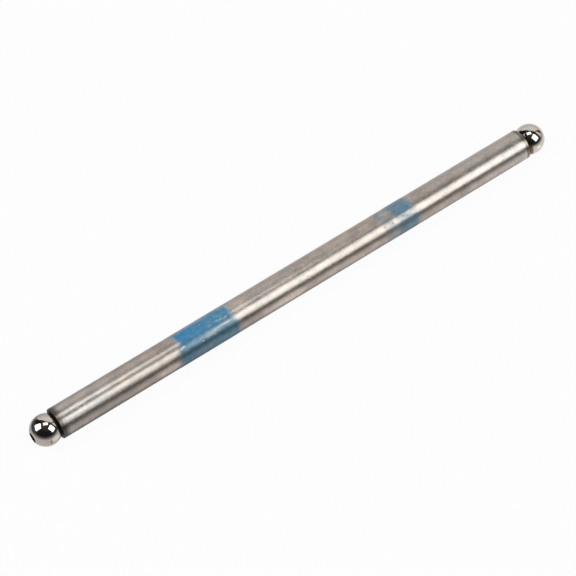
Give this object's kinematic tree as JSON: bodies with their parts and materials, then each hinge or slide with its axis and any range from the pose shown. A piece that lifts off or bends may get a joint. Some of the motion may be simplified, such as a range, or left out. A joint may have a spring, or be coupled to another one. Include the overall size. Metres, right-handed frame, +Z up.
{
  "type": "engine pushrod",
  "caption": "Straight hollow steel pushrod with a polished, drilled ball tip seated in each end and blue paint bands on the tube; carries lifter motion and oil to a rocker arm.",
  "frame": {"origin": "middle of the rod, on its axis", "axes": "+X along the rod from the lifter end to the rocker end, +Z up as the rod lies"},
  "size_m": [0.1524, 0.008, 0.008],
  "materials": {
    "tube_steel": "satin drawn steel, warm grey, finely mottled",
    "polished_steel": "mirror polished hardened steel, browned by heat on the collar",
    "blue_paint": "thin matt identification paint, worn and streaked"
  },
  "bodies": {
    "root": {"tube": "tube_steel", "lifter_ball_tip": "polished_steel", "rocker_ball_tip": "polished_steel", "wide_paint_band": "blue_paint", "narrow_paint_band": "blue_paint"}
  },
  "joints": []
}
